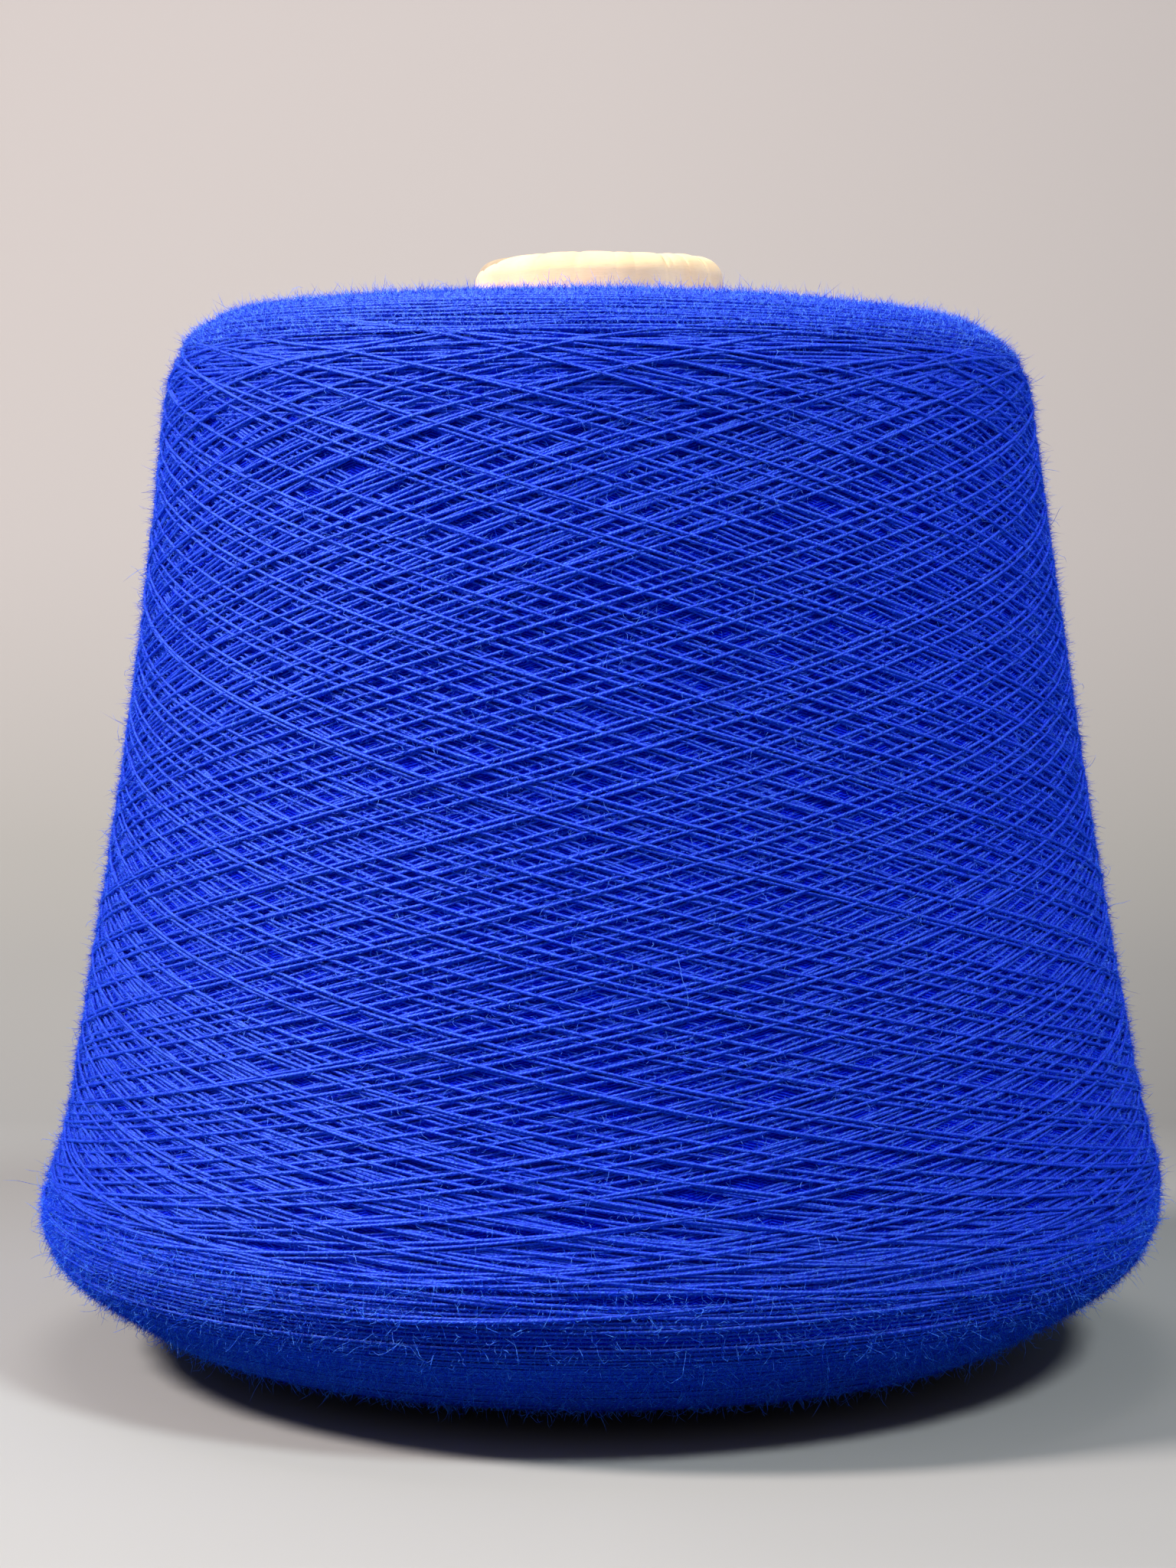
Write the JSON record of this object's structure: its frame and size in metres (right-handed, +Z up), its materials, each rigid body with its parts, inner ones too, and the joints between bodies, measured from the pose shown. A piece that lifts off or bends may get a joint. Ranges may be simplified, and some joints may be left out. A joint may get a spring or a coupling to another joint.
{
  "type": "spool of thread",
  "caption": "Large cross-wound cone of blue yarn on a tapered paper cone with a rounded, rolled-in nose, standing on its base.",
  "frame": {"origin": "centre of the paper cone's base, on the surface that it stands on", "axes": "+Z up along the cone's axis, from the base to the nose"},
  "size_m": [0.171, 0.171, 0.17],
  "materials": {
    "board": "rolled grey-brown board, matt",
    "cover_paper": "cream paper ply, matt, creased at the nose",
    "yarn": "hairy spun yarn, royal blue"
  },
  "bodies": {
    "root": {"board_cone": "board", "cover_ply": "cover_paper", "yarn_core": "yarn", "outer_turns": "yarn"}
  },
  "joints": []
}
